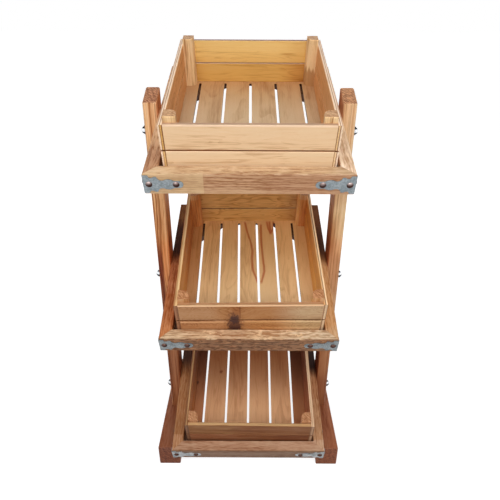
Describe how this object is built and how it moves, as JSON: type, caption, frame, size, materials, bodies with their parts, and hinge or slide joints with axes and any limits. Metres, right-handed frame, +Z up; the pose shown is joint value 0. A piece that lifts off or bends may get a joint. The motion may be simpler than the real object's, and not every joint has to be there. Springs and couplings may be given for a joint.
{
  "type": "tiered crate stand",
  "caption": "Free-standing wooden display stand: posts on foot runners carry tilted trays one above the other, each holding a slatted lift-out crate for goods.",
  "frame": {"origin": "middle of the stand's footprint box, on the floor", "axes": "+Z up, +Y from the low front of the trays towards their raised back, +X to the right of someone facing the front"},
  "size_m": [0.494, 0.465, 1.076],
  "materials": {
    "foot_wood": "oiled dark red-brown hardwood",
    "post_wood": "oiled striped hardwood",
    "tray_wood": "oiled finger-jointed hardwood",
    "gusset_wood": "plain sawn hardwood",
    "tongue_wood": "plain beech",
    "top_crate_wood": "pale clear-lacquered plywood",
    "middle_crate_wood": "golden clear-lacquered plywood",
    "bottom_crate_wood": "brown clear-lacquered plywood",
    "zinc_plate": "satin zinc-plated sheet",
    "bronze_screw": "bronzed dome heads",
    "bright_steel": "polished"
  },
  "bodies": {
    "stand": {"left_foot": "foot_wood", "left_post": "post_wood", "right_foot": "foot_wood", "right_post": "post_wood", "tray_studs": "bright_steel", "cap_nuts": "bright_steel", "tray_tongues": "tongue_wood", "bottom_tray_front_bar": "tray_wood", "bottom_tray_back_bar": "tray_wood", "bottom_tray_left_rail": "tray_wood", "bottom_tray_right_rail": "tray_wood", "bottom_tray_corner_gussets": "gusset_wood", "bottom_tray_corner_brackets": "zinc_plate", "bottom_tray_bracket_screws": "bronze_screw", "middle_tray_front_bar": "tray_wood", "middle_tray_back_bar": "tray_wood", "middle_tray_left_rail": "tray_wood", "middle_tray_right_rail": "tray_wood", "middle_tray_corner_gussets": "gusset_wood", "middle_tray_corner_brackets": "zinc_plate", "middle_tray_bracket_screws": "bronze_screw", "top_tray_front_bar": "tray_wood", "top_tray_back_bar": "tray_wood", "top_tray_left_rail": "tray_wood", "top_tray_right_rail": "tray_wood", "top_tray_corner_gussets": "gusset_wood", "top_tray_corner_brackets": "zinc_plate", "top_tray_bracket_screws": "bronze_screw"},
    "bottom_crate": {"bottom_crate_front_upper_board": "bottom_crate_wood", "bottom_crate_front_lower_board": "bottom_crate_wood", "bottom_crate_back_upper_board": "bottom_crate_wood", "bottom_crate_back_lower_board": "bottom_crate_wood", "bottom_crate_left_upper_board": "bottom_crate_wood", "bottom_crate_left_lower_board": "bottom_crate_wood", "bottom_crate_right_upper_board": "bottom_crate_wood", "bottom_crate_right_lower_board": "bottom_crate_wood", "bottom_crate_corner_posts": "bottom_crate_wood", "bottom_crate_floor_slats": "bottom_crate_wood"},
    "middle_crate": {"middle_crate_front_upper_board": "middle_crate_wood", "middle_crate_front_lower_board": "middle_crate_wood", "middle_crate_back_upper_board": "middle_crate_wood", "middle_crate_back_lower_board": "middle_crate_wood", "middle_crate_left_upper_board": "middle_crate_wood", "middle_crate_left_lower_board": "middle_crate_wood", "middle_crate_right_upper_board": "middle_crate_wood", "middle_crate_right_lower_board": "middle_crate_wood", "middle_crate_corner_posts": "middle_crate_wood", "middle_crate_floor_slats": "middle_crate_wood"},
    "top_crate": {"top_crate_front_upper_board": "top_crate_wood", "top_crate_front_lower_board": "top_crate_wood", "top_crate_back_upper_board": "top_crate_wood", "top_crate_back_lower_board": "top_crate_wood", "top_crate_left_upper_board": "top_crate_wood", "top_crate_left_lower_board": "top_crate_wood", "top_crate_right_upper_board": "top_crate_wood", "top_crate_right_lower_board": "top_crate_wood", "top_crate_corner_posts": "top_crate_wood", "top_crate_floor_slats": "top_crate_wood"}
  },
  "joints": [
    {"name": "bottom_crate_lift", "type": "slide", "parent": "stand", "child": "bottom_crate", "axis": [0, -0.309, 0.9511], "range_m": [0, 0.12]},
    {"name": "middle_crate_lift", "type": "slide", "parent": "stand", "child": "middle_crate", "axis": [0, -0.309, 0.9511], "range_m": [0, 0.12]},
    {"name": "top_crate_lift", "type": "slide", "parent": "stand", "child": "top_crate", "axis": [0, -0.309, 0.9511], "range_m": [0, 0.12]}
  ]
}
